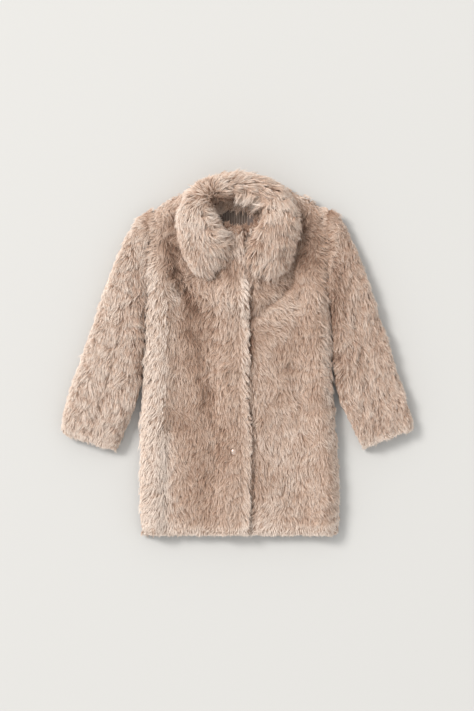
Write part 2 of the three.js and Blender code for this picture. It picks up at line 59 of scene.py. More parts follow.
# Outline
HEM_Y = -291.0
HEM_ROUND, HEM_DROP = 14.0, 0.35
NECK_X, NECK_HALF_WIDTH, NECK_TOP_Y = 3.0, 56.0, 280.0
FRONT_NECK_DROP, BACK_NECK_DROP = 74.0, 18.0
NECK_CUT, NECK_BLEND = np.radians(50), 9.0
UNDERARM_Y = 97.0
SHOULDER = {"left": (-137.8, 232.0), "right": (141.0, 236.0)}
ARMHOLE_SHARE, ARMHOLE_POWER = 0.87, 3
LAP_WIDTH, LAP_RAMP, CREASE_WIDTH = 38.0, 13.0, 11.0
LAP_EDGE = {
    "y": [-292, -190, -125, -75, -10, 90, 205],
    "x": [20, 21.5, 24, 18.5, 20, 18.5, 15],
}
SIDES = {
    "y": [-292, -207, -125, -75, -42, 24, 97],
    "left": [-153.5, -154.8, -154, -152, -149.5, -148.6, -148.6],
    "right": [165, 166, 160.5, 157.4, 155, 153, 151],
}
FOLD_COLUMNS = ("x1", "y1", "x2", "y2", "lift", "width")
FOLDS = [
    (-112, 178, -82, 102, -5, 17),
    (-82, 102, -44, -18, -4, 19),
    (-44, -60, -30, -190, -3, 17),
    (-58, 96, 2, 88, 7, 20),
    (24, 86, 62, 112, 5, 17),
    (24, 60, 76, 104, -3, 10),
    (-20, -20, 6, -10, 4, 17),
    (84, -18, 112, -88, -4, 11),
    (124, 90, 136, -60, 4, 15),
    (132, -110, 146, -230, 3, 16),
    (60, -120, 96, -250, -3, 18),
    (-112, -120, -118, -280, -3, 12),
    (100, 200, 84, 110, -4, 16),
]
DEEPEN = 1.6  # troughs, beside the depth in the CAD solid
DIMPLES = [(-4, -156, 4, 17), (-12, -41, 4, 17)]  # x, y, depth, radius
SIDE_ROLL = {"lift": 11.0, "inset": 24.0, "width": 20.0, "from": 120.0, "to": 215.0, "share": 0.35}
SNAP = (-4.0, -156.0)

SLEEVE_RIGHT = {
    "outer_x": [-137.8, -156, -175, -196, -215, -231, -247.5, -264, -276.5, -284],
    "outer_y": [232, 216, 190, 143, 94, 46, 0, -45, -88, -120.5],
    "inner_x": [-148.6, -150, -150.6, -150.6, -150.6, -151, -154.5, -164, -178, -189.5],
    "inner_y": [97, 84, 66, 42, 14, -16, -50, -86, -120, -152.5],
    "rise": [18.5, 22, 25, 26, 26, 25, 25, 24, 23, 20],
}
SLEEVE_LEFT = {
    "outer_x": [141, 160, 177, 199, 218, 233, 249, 261, 276, 286],
    "outer_y": [236, 223, 196, 148, 97, 49, 4, -38, -80, -116],
    "inner_x": [151, 152.6, 154, 155, 155.6, 156.6, 159.5, 167, 183.5, 199],
    "inner_y": [97, 84, 66, 42, 14, -14, -48, -80, -113, -148.5],
    "rise": [18.5, 22, 25, 26, 26, 25, 25, 24, 23, 20],
}
SLEEVE_SQUARENESS, SLEEVE_SLIT, SLEEVE_SIDE_WALL = 3.2, 2.4, 15.0
COLLAR = {
    "neck_x": [-14, -16, -29, -41, -38, -20, 2.5, 23, 39, 38, 28, 21, 19],
    "neck_y": [163, 180, 206, 227, 243, 251, 253, 249, 237, 216, 196, 175, 152],
    "fold_x": [-55, -77, -94, -99, -80, -47, 2.5, 49, 86, 104, 101, 86, 64],
    "fold_y": [127, 141, 176, 220, 262, 285, 294, 285, 261, 220, 180, 146, 119],
    "neck_z": [28, 28, 27, 25, 14, 8, 8, 8, 14, 25, 27, 28, 28],
    "fold_z": [27, 27, 27, 26, 12, 1, 1, 1, 12, 26, 27, 27, 27],
    "rise": [21, 33, 40, 45, 56, 66, 67, 67, 58, 47, 42, 36, 23],
}
COLLAR_WALL, COLLAR_CREST, COLLAR_SQUARENESS = 16.0, 0.72, 2.5

# Share of the parameters taken by a panel's flat; the rest is its turned edge
FLAT_C, FLAT_B = 0.74, 0.93


def mix(a, b, t):
    return a + (b - a) * t


def smooth(t):
    t = np.clip(t, 0, 1)
    return t * t * (3 - 2 * t)


def unit(v):
    return v / np.maximum(np.linalg.norm(v, axis=-1, keepdims=True), 1e-9)


def carry(column, at):
    """Cubic through a table's column: with slopes m = half the step across a row and d = the step,
    p1 + t (m1 + t (3 d - 2 m1 - m2 + t (m1 + m2 - 2 d)))."""
    v = np.asarray(column, float)
    i = np.clip(np.floor(at).astype(int), 0, len(v) - 2)
    t = at - i
    p0, p1, p2, p3 = (v[np.clip(i + k, 0, len(v) - 1)] for k in (-1, 0, 1, 2))
    m1, m2, d = (p2 - p0) / 2, (p3 - p1) / 2, p2 - p1
    return p1 + t * (m1 + t * (3 * d - 2 * m1 - m2 + t * (m1 + m2 - 2 * d)))


def along_y(table, name, y):
    ys = np.asarray(table["y"], float)
    i = np.clip(np.searchsorted(ys, y, side="right") - 1, 0, len(ys) - 2)
    return carry(table[name], i + np.clip((y - ys[i]) / (ys[i + 1] - ys[i]), 0, 1))


def lap_edge(y):
    return along_y(LAP_EDGE, "x", y)


def underlap_edge(y):
    return lap_edge(y) - LAP_WIDTH


def side_edge(out, y):
    """x of the body's side edge: the table up to the underarm, then straight to the shoulder point."""
    def one(side):
        x, top = SHOULDER[side]
        t = np.clip((y - UNDERARM_Y) / (top - UNDERARM_Y), 0, 1)
        return mix(along_y(SIDES, side, np.minimum(y, UNDERARM_Y)), x, t)
    return np.where(out < 0, one("left"), one("right"))


def armhole_share(out, y):
    """Height of the armhole seam: 0.87 (1 - |2 t - 1|^3)^(1/3) of the rise, t from underarm to shoulder."""
    top = np.where(out < 0, SHOULDER["left"][1], SHOULDER["right"][1])
    t = np.clip((y - UNDERARM_Y) / (top - UNDERARM_Y), 0, 1)
    return ARMHOLE_SHARE * (1 - np.abs(2 * t - 1) ** ARMHOLE_POWER) ** (1 / ARMHOLE_POWER)


def top_edge(x, drop):
    """y of a panel's top: an ellipse at the neck, straight shoulder lines beside it."""
    q = (x - NECK_X) / NECK_HALF_WIDTH
    (lx, ly), (rx, ry) = SHOULDER["left"], SHOULDER["right"]
    left = mix(NECK_TOP_Y, ly, (x - NECK_X + NECK_HALF_WIDTH) / (lx - NECK_X + NECK_HALF_WIDTH))
    right = mix(NECK_TOP_Y, ry, (x - NECK_X - NECK_HALF_WIDTH) / (rx - NECK_X - NECK_HALF_WIDTH))
    neck = NECK_TOP_Y - drop * np.sqrt(np.maximum(0, 1 - q * q))
    return np.where(np.abs(q) < 1, neck, np.where(q < 0, left, right))


def front_rise(x, y):
    """Height of the fronts above the seams: a base, a roll exp(-((inset - 24) / 20)^2) beside each
    side edge, and each fold's and dimple's lift times exp(-(distance / width)^2)."""
    left, right = side_edge(np.full_like(y, -1.0), y), side_edge(np.ones_like(y), y)
    inset = np.minimum(x - left, right - x)
    r = SIDE_ROLL
    fade = mix(1, r["share"], smooth((y - r["from"]) / (r["to"] - r["from"])))
    rise = FRONT_RISE + r["lift"] * fade * np.exp(-(((inset - r["inset"]) / r["width"]) ** 2))
    for row in FOLDS:
        f = dict(zip(FOLD_COLUMNS, row))
        dx, dy = f["x2"] - f["x1"], f["y2"] - f["y1"]
        t = np.clip(((x - f["x1"]) * dx + (y - f["y1"]) * dy) / (dx * dx + dy * dy), 0, 1)
        away = np.hypot(x - f["x1"] - t * dx, y - f["y1"] - t * dy)
        rise = rise + f["lift"] * (DEEPEN if f["lift"] < 0 else 1) * np.exp(-((away / f["width"]) ** 2))
    for cx, cy, depth, radius in DIMPLES:
        rise = rise - depth * np.exp(-((np.hypot(x - cx, y - cy) / radius) ** 2))
    return rise


def hem_share(y):
    t = 1 - np.clip((y - HEM_Y) / HEM_ROUND, 0, 1)
    return 1 - HEM_DROP * (1 - np.sqrt(1 - t * t))


def panel(c, b, depth, start, drop, height, hem=HEM_Y):
    """A body panel's face, sunk by depth. |c| runs over the flat from start(y) and then down the side's
    quarter turn, b from the hem over the flat and round the top edge: with the turns' angles p and q and
    r = radius - 0.6 depth, x = centre + r cos p, y = centre + r cos q, z = seam + height sin p sin q."""
    c, b, depth = np.broadcast_arrays(np.asarray(c, float), b, depth)
    out = np.where(c < 0, -1.0, 1.0)
    flat = np.minimum(np.abs(c) / FLAT_C, 1)
    turned = np.clip((np.abs(c) - FLAT_C) / (1 - FLAT_C), 0, 1)

    def across(y, radius):
        seam_angle = np.arcsin(armhole_share(out, y))
        centre = side_edge(out, y) - out * EDGE_RADIUS * np.cos(seam_angle)
        p = mix(np.pi / 2, seam_angle, turned)
        return mix(start(y), centre, flat) + out * radius * np.cos(p), np.sin(p)

    top = np.full_like(c, NECK_TOP_Y - drop)
    for _ in range(12):
        top = mix(top, top_edge(across(top, EDGE_RADIUS)[0], drop), 0.8)
    inside = NECK_HALF_WIDTH - np.abs(across(top, EDGE_RADIUS)[0] - NECK_X)
    cut = NECK_CUT * smooth(inside / NECK_BLEND + 0.5)
    centre = top - EDGE_RADIUS * np.cos(cut)
    q = mix(np.pi / 2, cut, np.clip((b - FLAT_B) / (1 - FLAT_B), 0, 1))
    y = mix(hem, centre, np.minimum(b / FLAT_B, 1)) + (EDGE_RADIUS - SIDE_DEPTH * depth) * np.cos(q)
    x, share = across(y, EDGE_RADIUS - SIDE_DEPTH * depth)
    return np.stack([x, y, SEAM_HEIGHT + height(x, y, depth) * share * np.sin(q)], -1)


def left_height(x, y, depth):
    """The left front: pressed thin under the lap, and rising beside it to its full height."""
    lapped = smooth((x - lap_edge(y)) / CREASE_WIDTH)
    pressed = INNER_Z - SEAM_HEIGHT + LAP_WALL - 0.6
    outer = mix(pressed, front_rise(x, y) * hem_share(y) - depth, lapped)
    return np.where(depth > ROOT_DEPTH, INNER_Z - SEAM_HEIGHT, outer)


def right_height(x, y, depth):
    """The right front: climbs on to the underlap over a ramp."""
    lift = (LAP_WALL + 0.3) * smooth((x - underlap_edge(y) + LAP_RAMP) / LAP_RAMP)
    outer = front_rise(x, y) * hem_share(y) - depth
    return lift + np.where(depth > ROOT_DEPTH, INNER_Z - SEAM_HEIGHT, outer)


def back_height(x, y, depth):
    """The back: its outer face on the surface, its inner face at the pressed wall's thickness."""
    return np.where(depth > ROOT_DEPTH, PRESSED_WALL, 0.4) - SEAM_HEIGHT


def front_left(c, b, depth=ROOT_DEPTH, hem=HEM_Y + 6):
    return panel(c, b, depth, underlap_edge, FRONT_NECK_DROP, left_height, hem)


def front_right(c, b, depth=ROOT_DEPTH, hem=HEM_Y + 6):
    return panel(-np.asarray(c, float), b, depth, lap_start, FRONT_NECK_DROP, right_height, hem)


def lap_start(y):
    return lap_edge(y) - 4.0


def back(c, b, depth=ROOT_DEPTH, hem=HEM_Y + 6):
    """c runs from -1 at one side seam to 1 at the other."""
    return panel(c, b, depth, lambda y: np.full_like(y, NECK_X), BACK_NECK_DROP, back_height, hem)


def sleeve(table, angle, t, depth=ROOT_DEPTH):
    """Flattened rings from the armhole (t = 0) to the cuff (1): across the sleeve sgn(cos a) |cos a|^(2/n)
    of its half width, and up |sin a|^(2/n) of its rise, less depth."""
    angle, t, depth = np.broadcast_arrays(np.asarray(angle, float), t, depth)
    at = t * (len(table["rise"]) - 1)
    ox, oy, ix, iy, rise = (carry(table[k], at) for k in ("outer_x", "outer_y", "inner_x", "inner_y", "rise"))
    half = np.hypot(ix - ox, iy - oy) / 2
    ax, ay = (ix - ox) / 2 / half, (iy - oy) / 2 / half
    c, s = np.cos(angle), np.sin(angle)
    across = np.sign(c) * np.abs(c) ** (2 / SLEEVE_SQUARENESS)
    up = np.abs(s) ** (2 / SLEEVE_SQUARENESS)
    inner = depth > ROOT_DEPTH
    reach = half - np.where(inner, SLEEVE_SIDE_WALL, SIDE_DEPTH * depth)
    above = np.where(inner, SLEEVE_SLIT / 2, rise - depth)
    below = np.where(inner, SLEEVE_SLIT / 2, SEAM_HEIGHT - 0.4)
    z = SEAM_HEIGHT + up * np.where(s >= 0, above, -below)
    return np.stack([(ox + ix) / 2 + ax * across * reach, (oy + iy) / 2 + ay * across * reach, z], -1)


def collar(k, n, depth=7.0):
    """An arch over the line from the neck edge (k = 0) to the fold's edge (1), carried round the neck
    from the right leaf (n = 0) to the left (1): height sin(pi k)^(2/m) of the rise, less depth."""
    k, n, depth = np.broadcast_arrays(np.asarray(k, float), n, depth)
    at = n * (len(COLLAR["rise"]) - 1)
    row = {name: carry(column, at) for name, column in COLLAR.items()}
    inset = depth / np.hypot(row["fold_x"] - row["neck_x"], row["fold_y"] - row["neck_y"])
    a = np.clip(k, 0, 1) * np.pi
    c, s = np.cos(a), np.sin(a)
    across = (0.5 - 0.5 * np.sign(c) * np.abs(c) ** (2 / COLLAR_SQUARENESS)) ** (1 / COLLAR_CREST)
    q = mix(inset, 1 - inset, across)
    arch = np.abs(s) ** (2 / COLLAR_SQUARENESS)
    return np.stack([
        mix(row["neck_x"], row["fold_x"], q),
        mix(row["neck_y"], row["fold_y"], q),
        mix(row["neck_z"], row["fold_z"], q) + (row["rise"] - depth) * arch,
    ], -1)


def make_mesh(name, points, triangles, smooth_faces=True, attributes=(), normals=None):
    """A mesh object from whole arrays: points in millimetres and rows of three indices."""
    me = bpy.data.meshes.new(name)
    count = len(triangles)
    me.vertices.add(len(points))
    me.vertices.foreach_set("co", (np.asarray(points, np.float32) * MM).ravel())
    me.loops.add(count * 3)
    me.loops.foreach_set("vertex_index", np.asarray(triangles, np.int32).ravel())
    me.polygons.add(count)
    me.polygons.foreach_set("loop_start", np.arange(0, count * 3, 3, dtype=np.int32))
    me.polygons.foreach_set("use_smooth", np.full(count, smooth_faces))
    me.update(calc_edges=True)
    for key, values in dict(attributes).items():
        me.attributes.new(key, "FLOAT", "POINT").data.foreach_set("value", np.asarray(values, np.float32).ravel())
    if normals is not None:
        me.normals_split_custom_set_from_vertices(normals)
    obj = bpy.data.objects.new(name, me)
    bpy.context.scene.collection.objects.link(obj)
    return obj


def facing_out(points, triangles):
    """The triangles, turned over if the signed volume, the sum of a . (b x c) / 6, is negative."""
    a, b, c = (points[triangles[:, k]] for k in range(3))
    return triangles if np.einsum("ij,ij->", a, np.cross(b, c)) > 0 else triangles[:, ::-1]


def shell(name, outer, inner, ring=False):
    """A closed wall between two grids of points. A ring's columns meet each other."""
    rows, cols = outer.shape[:2]
    index = np.arange(rows * cols).reshape(rows, cols)
    far = index + rows * cols
    if ring:
        index, far = (np.concatenate([g, g[:, :1]], 1) for g in (index, far))

    def quads(g, turn):
        a, b, c, d = g[:-1, :-1], g[:-1, 1:], g[1:, 1:], g[1:, :-1]
        q = [(a, b, c), (a, c, d)] if turn else [(a, c, b), (a, d, c)]
        return [np.stack(t, -1).reshape(-1, 3) for t in q]

    faces = quads(index, True) + quads(far, False)
    rims = [(index[0], far[0]), (index[-1][::-1], far[-1][::-1])]
    if not ring:
        rims += [(index[::-1, 0], far[::-1, 0]), (index[:, -1], far[:, -1])]
    for near, away in rims:
        a, b, c, d = near[:-1], near[1:], away[1:], away[:-1]
        faces += [np.stack((b, a, d), -1), np.stack((b, d, c), -1)]
    points = np.concatenate([outer.reshape(-1, 3), inner.reshape(-1, 3)])
    return make_mesh(name, points, facing_out(points, np.concatenate(faces)))


def ripple(p, wavelength, seed, waves=9):
    """Smooth noise of about unit size: a sum of sines of a few directions, wavelengths and phases."""
    rng = np.random.default_rng(seed)
    direction = unit(rng.normal(size=(waves, 3)) * [1, 1, 0.6])
    size = wavelength * rng.uniform(0.7, 1.5, waves)
    phase = rng.uniform(0, 2 * np.pi, waves)
    return np.sin(2 * np.pi * (p @ direction.T) / size + phase).sum(-1) / np.sqrt(waves / 2)


def roots(face, count, seed, flip=False):
    """Evenly scattered points on face(u, v) for u and v from 0 to 1: an additive sequence thinned by area.
    Returns the points, normals and the two tangents."""
    rng = np.random.default_rng(seed)
    i = np.arange(1, count * 4)
    u, v = (0.5 + i * 0.7548776662466927 + rng.random()) % 1, (0.5 + i * 0.5698402909980532) % 1
    e = 2e-3
    pu = (face(u + e, v) - face(u - e, v)) / (2 * e)
    pv = (face(u, v + e) - face(u, v - e)) / (2 * e)
    normal = np.cross(pu, pv)
    area = np.linalg.norm(normal, axis=-1)
    keep = np.flatnonzero(rng.random(len(u)) < area / np.quantile(area, 0.97))[:count]
    normal = unit(normal[keep]) * (-1 if flip else 1)
    return face(u[keep], v[keep]), normal, pu[keep], pv[keep], u[keep], v[keep]


def locks(patch, seed):
    """Locks of pile on one patch. A lock leaves its root steeply and bends over along the comb's direction;
    its strands start apart and meet towards its tip. Each strand is a closed spindle of six faces,
    through a base point, a triangle at its middle and a tip. Returns points, along, and random variation with painted
    light and shade."""
    rng = np.random.default_rng(seed)
    p, n, pu, pv, u, v = roots(patch["face"], patch["count"], seed, patch.get("flip", False))
    d = patch["comb"](p, n, pu, pv, u, v)
    if patch.get("keep") is not None:
        kept = patch["keep"](p, u, v)
        p, n, d, u, v = p[kept], n[kept], d[kept], u[kept], v[kept]
    count = len(p)
    d = unit(d - (d * n).sum(-1, keepdims=True) * n)
    side = np.cross(n, d)
    sleek = patch["sleek"](p)[:, None] if patch.get("sleek") is not None else np.zeros((count, 1))
    calm = 1 - 0.75 * sleek
    sway = 0.28 * ripple(p, 46, seed + 1) + 0.12 * ripple(p, 18, seed + 5) + 0.12 * rng.normal(size=count)
    sway = patch.get("sway", 1.0) * calm * sway[:, None]
    d = unit(d + sway * side)
    side = np.cross(n, d)
    lift = calm[:, 0] * (0.16 * ripple(p, 22, seed + 2) + 0.1 * rng.normal(size=count))
    lift = np.clip(np.radians(patch.get("lift", 27)) * mix(1, 0.7, sleek[:, 0]) + lift, 0.12, 1.2)[:, None]
    length = patch["length"] * (1 + 0.14 * ripple(p, 13, seed + 3) + 0.1 * rng.normal(size=count))
    length = np.clip(length, 0.6 * patch["length"], 1.35 * patch["length"])[:, None]
    if patch.get("trim") is not None:
        length = length * patch["trim"](u, v)[:, None]

    per = patch.get("strands", 5)
    spread, width = patch.get("spread", 2.3), patch.get("width", 1.35)
    turn, far = rng.uniform(0, 2 * np.pi, (count, per)), spread * np.sqrt(rng.random((count, per)))
    apart = (far * np.cos(turn))[..., None] * d[:, None] + (far * np.sin(turn))[..., None] * side[:, None]
    steep = np.minimum(lift + 0.42, 1.45)
    curl = patch.get("curl", 0.07) * calm * (ripple(p, 26, seed + 8) + 0.6 * rng.normal(size=count))[:, None] * side
    middle = 0.5 * length * (np.cos(steep) * d + np.sin(steep) * n + curl)
    tip = length * (np.cos(lift) * d + np.sin(lift) * n - curl)
    loose = calm[..., None] * rng.normal(size=(count, per, 3))
    own = 1 + 0.12 * rng.normal(size=(count, per, 1))
    root = p[:, None] + apart - 2.5 * n[:, None]
    middle = p[:, None] + 0.85 * apart + own * middle[:, None] + 0.35 * loose
    tip = p[:, None] + patch.get("meet", 0.45) * apart + own * tip[:, None] + loose * 0.9
    along = unit(tip - root)
    right = unit(np.cross(n[:, None], along))
    up = np.cross(along, right)
    size = 0.5 * width * rng.uniform(0.75, 1.25, (count, per, 1))
    round_it = [np.cos(a) * right + np.sin(a) * up for a in np.radians([90, 210, 330])]
    ring = [middle + size * r * [1, 1, 0.75] for r in round_it]
    points = np.stack([root, *ring, tip], 2).reshape(-1, 3)
    cloth_normal = unit(mix(n, np.array([0.0, 0.0, 1.0]), patch.get("light", 0.0)))
    cloth_normal = np.broadcast_to(cloth_normal[:, None], tip.shape)
    own_share = patch.get("own_normal", 0.5) * mix(1, 0.55, sleek)[..., None]
    normals = [mix(cloth_normal, r, own_share) for r in round_it]
    normals = unit(np.stack([cloth_normal, *normals, mix(cloth_normal, along, 0.1)], 2)).reshape(-1, 3)
    z = points[:, 2]  # above the surface by at least 0.3, and still in order, so that no strand turns inside out
    z = np.where(z < 1.5, 0.3 + 1.2 * np.exp((np.minimum(z, 1.5) - 1.5) / 1.2), z)
    points[:, 2] = np.minimum(z, mix(z, HIGHEST, 0.65))
    tone = 0.3 * rng.normal(size=(count, 1)) + 0.8 * rng.normal(size=(count, per))
    cloud = patch.get("cloud", 1.0) * (0.5 * ripple(p, 80, seed + 4) + 0.3 * ripple(p, 30, seed + 6))[:, None]
    tone = (patch.get("contrast", 1.0) * tone + cloud) * mix(1, calm, 0.6)
    # add the patch's painted light and shade: darker where shade falls, paler where the pile faces the lamp
    if patch.get("tone") is not None:
        tone = tone + (patch["tone"](p, u, v) + np.zeros(count))[:, None]
    height = np.tile([0.0, 0.5, 0.5, 0.5, 1.0], count * per)
    return points, height, np.repeat(tone.ravel(), 5), normals


def fur(name, patches, seed):
    """One mesh of the locks on several patches. A strand's faces: base with each side of the triangle,
    and each side with the tip."""
    made = [locks(patch, seed + 17 * i) for i, patch in enumerate(patches)]
    points, along, tone, normals = (np.concatenate([m[k] for m in made]) for k in range(4))
    one = np.array([[0, 2, 1], [0, 3, 2], [0, 1, 3], [1, 2, 4], [2, 3, 4], [3, 1, 4]])
    triangles = (np.arange(len(points) // 5)[:, None, None] * 5 + one).reshape(-1, 3)
    return make_mesh(name, points, triangles, attributes={"along": along, "tone": tone}, normals=normals)


def grid(face, us, vs, **kw):
    u, v = np.meshgrid(us, vs)
    return face(u, v, **kw)


# Directions in which the pile is combed
def comb_right_front(p, n, pu, pv, u, v):
    """Down, and outwards at the side; the strip beside the lap's edge is combed out over it."""
    x, y = p[:, 0], p[:, 1]
    strip = smooth((x - lap_edge(y) + 18) / 6) * smooth((150 - y) / 30)
    side = smooth((side_edge(np.full_like(y, -1.0), y) + 50 - x) / 48)
    upper = smooth((y - 60) / 90)
    dx = -0.1 - 0.35 * side + 0.2 * ripple(p, 120, 3) - 0.15 * upper
    flow = np.stack([dx, -np.ones_like(dx), -0.5 * side], -1)
    return mix(unit(flow), np.array([0.45, -0.88, -0.1]), strip[:, None])


def comb_left_front(p, n, pu, pv, u, v):
    """Down, on the chest slanting out towards the side, and outwards at the side."""
    x, y = p[:, 0], p[:, 1]
    chest = np.exp(-(((x - 62) / 50) ** 2) - ((y - 70) / 90) ** 2)
    side = smooth((x - side_edge(np.ones_like(y), y) + 30) / 26)
    dx = 0.05 + 0.85 * chest + 0.8 * side + 0.2 * ripple(p, 120, 4)
    return np.stack([dx, -np.ones_like(dx), -0.5 * side], -1)


def comb_down_y(p, n, pu, pv, u, v):
    return np.tile([0.0, -1.0, -0.25], (len(p), 1))


def comb_lap_rim(p, n, pu, pv, u, v):
    return np.tile([0.6, -0.75, -0.3], (len(p), 1))


def comb_sleeve(p, n, pu, pv, u, v):
    """Along the sleeve towards the cuff, a little to both edges, and more towards the body."""
    spread = unit(n * [1, 1, 0] + 1e-6)
    inward = unit(pu * [1, 1, 0]) * np.sign(-p[:, :1] * pu[:, :1])
    near = smooth((0.65 - v) / 0.5) * smooth((190 - np.abs(p[:, 0])) / 40)
    flow = unit(pv) + 0.2 * spread * np.abs(n[:, :1]) + 0.45 * near[:, None] * inward
    return flow + 0.14 * ripple(p, 90, 7)[:, None] * unit(pu) + [0, 0, -0.15]


def comb_collar(p, n, pu, pv, u, v):
    """Along the roll from a parting left of its top to the ends of both leaves; fanning out over the
    leaves' outer edges, and down into the neck on the inner side."""
    way = np.clip((v - 0.37) / 0.05, -1, 1)[:, None]
    away = unit(pu)
    left_leaf, right_leaf = smooth((v - 0.68) / 0.12)[:, None], smooth((0.3 - v) / 0.12)[:, None]
    outer = smooth((u - 0.45) / 0.3)[:, None]
    inner = smooth((0.42 - u) / 0.2)[:, None]
    out = 0.12 + outer * (0.65 * left_leaf + 0.3 * right_leaf) + 0.9 * (1 - np.abs(way))
    return unit(pv) * way + out * away * (1 - inner) - inner * (0.6 + 0.4 * right_leaf) * away


def comb_into_neck(p, n, pu, pv, u, v):
    """Down the roll's inner wall, towards the middle and the front; a steep lift then reaches over the neck."""
    return np.sign(p[:, :1]) * [-0.55, 0.0, 0.0] + [0.0, -0.5, 0.0] - unit(pu)


def rim(face, **fixed):
    """The end face of a wall: u runs along its edge, v from the inner to the outer face."""
    name, value = next(iter(fixed.items()))
    def edge(u, v):
        where = {"b": lambda q: (u, q), "c": lambda q: (q, u)}[name]
        first, second = where(np.full_like(u, value))
        inner, outer = face(first, second, depth=SHELL_INNER), face(first, second)
        return mix(inner, outer, np.clip(v, 0.05, 1)[..., None])
    return edge


# Shells: backing and dense ground of the pile
def panel_shell(name, face, us, rows=70):
    vs = np.concatenate([np.linspace(0, FLAT_B, rows - 8), np.linspace(FLAT_B, 1, 9)[1:]])
    return shell(name, grid(face, us, vs), grid(face, us, vs, depth=SHELL_INNER))


turn = np.linspace(FLAT_C, 1, 8)[1:]
cloth = {}
cloth["front_right"] = panel_shell("front_right_cloth", front_right, np.r_[np.linspace(0, FLAT_C, 34), turn])
cloth["front_left"] = panel_shell("front_left_cloth", front_left, np.r_[np.linspace(0, FLAT_C, 36), turn])
cloth["back"] = panel_shell("back_cloth", back, np.r_[-turn[::-1], np.linspace(-FLAT_C, FLAT_C, 30), turn], 44)
angles = np.linspace(0, 2 * np.pi, 49)[:-1]
lengths = np.linspace(0, 0.985, 50)
for side, table in (("right", SLEEVE_RIGHT), ("left", SLEEVE_LEFT)):
    a, t = np.meshgrid(angles, lengths)
    cloth["sleeve_" + side] = shell(
        f"sleeve_{side}_cloth", sleeve(table, a, t), sleeve(table, a, t, depth=SHELL_INNER), ring=True)
ks, ns = np.meshgrid(np.linspace(0, 1, 25), np.linspace(0.015, 0.985, 90))
cloth["collar"] = shell("collar_cloth", collar(ks, ns), collar(ks, ns, depth=COLLAR_WALL - 1.5))


def clear_of_snap(p, u, v):
    """Outside an ellipse above the snap, so that no lock hangs over it."""
    return np.hypot((p[:, 0] - SNAP[0]) / 4, (p[:, 1] - SNAP[1] - 6) / 11) > 1


PAINTED_SHADING_COLUMNS = ("x1", "y1", "x2", "y2", "width", "tone")
PAINTED_SHADING = [  # below 0, painted shade in the troughs of folds and in the collar's shadow, where the pile is also parted and shows its darker ground; above 0, mostly painted light on ridges and edges that face the lamp, where the pile also lies sleek and pale
    (-98, 225, -104, 180, 13, -2.8),
    (-106, 175, -100, 136, 14, -4.2),
    (-92, 122, -64, 84, 12, -4.4),
    (-122, 104, -114, 62, 10, -2.0),
    (-84, 84, -58, -10, 14, -2.4),
    (-107, 108, -100, 20, 9, 1.2),
    (-76, -8, -48, -66, 14, -2.3),
    (-56, -40, -16, -158, 14, -2.0),
    (-50, 70, -34, 20, 14, -1.2),
    (-72, -110, -40, -265, 26, -1.3),
    (-32, 150, -6, 143, 13, -3.4),
    (-24, -20, -8, -60, 14, -0.9),
    (106, 226, 114, 168, 18, -3.6),
    (114, 160, 84, 108, 18, -1.8),
    (2, 168, 22, 146, 12, 1.6),
    (34, 108, 60, 118, 11, -1.6),
    (33, -190, 33, -250, 14, -1.0),
    (30, 40, 90, -60, 26, -0.5),
    (-122, -20, -120, -100, 12, -1.0),
    (136, 214, 130, 128, 15, -1.9),
    (-116, -130, -116, -280, 18, 2.6),
    (60, -60, 110, -230, 40, 0.7),
    (12, 126, 18, 106, 8, 3.0),
    (-122, 170, -128, 60, 13, 1.4),
    (-80, 20, -60, -60, 9, 0.8),
    (-44, 98, 4, 92, 14, 1.2),
]


def shade(p):
    """Painted light and shade of the rows: the sum of each row's last column times exp(-(distance to its line /
    width)^2).
    """
    total = np.zeros(len(p))
    for row in PAINTED_SHADING:
        f = dict(zip(PAINTED_SHADING_COLUMNS, row))
        dx, dy = f["x2"] - f["x1"], f["y2"] - f["y1"]
        t = np.clip(((p[:, 0] - f["x1"]) * dx + (p[:, 1] - f["y1"]) * dy) / (dx * dx + dy * dy), 0, 1)
        away = np.hypot(p[:, 0] - f["x1"] - t * dx, p[:, 1] - f["y1"] - t * dy)
        total += f["tone"] * np.exp(-((away / f["width"]) ** 2))
    return total


def hem_tone(v):
    """Pale along the last few centimetres."""
    return 3.0 * smooth((0.05 - v) / 0.04)


def top_tone(v):
    """Pale along the shoulder seams, where the pile stands against the light."""
    return 2.0 * smooth((v - 0.93) / 0.04)


def right_front_tone(p, u, v):
    """Pale along the lap's edge, painted light along the side, which faces the lamp, and the rows' painted light and
    shade.
    """
    x, y = p[:, 0], p[:, 1]
    side = side_edge(np.full_like(y, -1.0), y)
    reach = mix(20, 62, smooth((100 - y) / 110))
    # painted light on the side roll, which faces the lamp
    sunny = 3.0 * smooth((side + reach - x) / reach) * smooth((190 - y) / 70)
    strip = 2.6 * smooth((x - lap_edge(y) + 17) / 5) * mix(1, 0.3, smooth((y - 118) / 14))
    strip = strip * mix(1, 0.6, smooth((-10 - y) / 60))
    return shade(p) - 0.15 + strip + sunny + hem_tone(v) + top_tone(v)


def left_front_tone(p, u, v):
    """Painted shadow of the lap's edge beside it, where the front dips; painted light along the armhole and on the
    lower part near the side; and the rows' painted light and shade.
    """
    x, y = p[:, 0], p[:, 1]
    side = side_edge(np.ones_like(y), y)
    # painted light along the armhole and, lower down, beside the gap at the side
    armhole = smooth((x - side + 22) / 12) * smooth((y + 100) / 50) * smooth((160 - y) / 50)
    lower = 0.6 * smooth((-60 - y) / 60) + 2.2 * smooth((x - side + 26) / 24) * smooth((30 - y) / 60)
    # painted shadow that the lap's edge casts into the dip beside it
    groove = smooth((lap_edge(y) + 11 - x) / 7) * mix(3.6, 1.4, smooth((20 - y) / 60)) * smooth((128 - y) / 12)
    return shade(p) + lower - groove + 3.4 * armhole + hem_tone(v) + top_tone(v)


